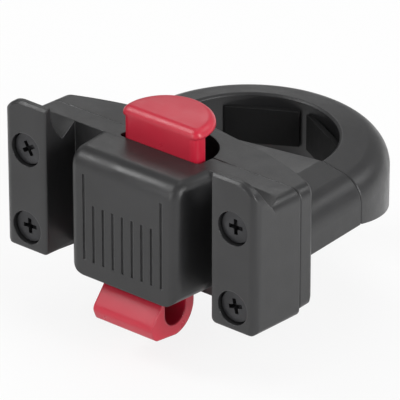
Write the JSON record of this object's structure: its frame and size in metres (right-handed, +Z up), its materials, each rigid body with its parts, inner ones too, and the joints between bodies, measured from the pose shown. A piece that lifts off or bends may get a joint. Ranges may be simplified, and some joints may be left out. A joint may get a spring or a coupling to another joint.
{
  "type": "handlebar bag mount",
  "caption": "Quick-release bag mount: padded tube clamp with a bolted bow, channels beside a grooved block, and a push button on a sprung slider that ends in a hook.",
  "frame": {"origin": "on the axis of the clamped tube, at mid height of the clamp loop, with the bow closed", "axes": "+Z up along the tube, -Y towards the bag, +X to the right as the bag side is seen from the front"},
  "size_m": [0.073, 0.0786, 0.0503],
  "materials": {
    "black_plastic": "fine matte moulding",
    "red_plastic": "satin",
    "black_rubber": "matte",
    "black_steel": "blackened",
    "bright_steel": "plain"
  },
  "bodies": {
    "housing": {"front_housing": "black_plastic", "rear_housing": "black_plastic", "housing_screws": "black_steel", "clamp_bolts": "bright_steel", "bolt_washers": "bright_steel", "front_pad_left": "black_rubber", "front_pad_right": "black_rubber", "return_spring": "bright_steel"},
    "release": {"release_slider": "red_plastic"},
    "bow": {"clamp_bow": "black_plastic", "rear_pad_left": "black_rubber", "rear_pad_right": "black_rubber", "clamp_nuts": "bright_steel"}
  },
  "joints": [
    {"name": "release_slide", "type": "slide", "parent": "housing", "child": "release", "axis": [0, 0, -1], "range_m": [0, 0.006], "stiffness_N_per_m": 1200, "springref_m": -0.004, "deforming": ["return_spring"]},
    {"name": "clamp_slide", "type": "slide", "parent": "housing", "child": "bow", "axis": [0, 1, 0], "range_m": [0, 0.008]}
  ]
}
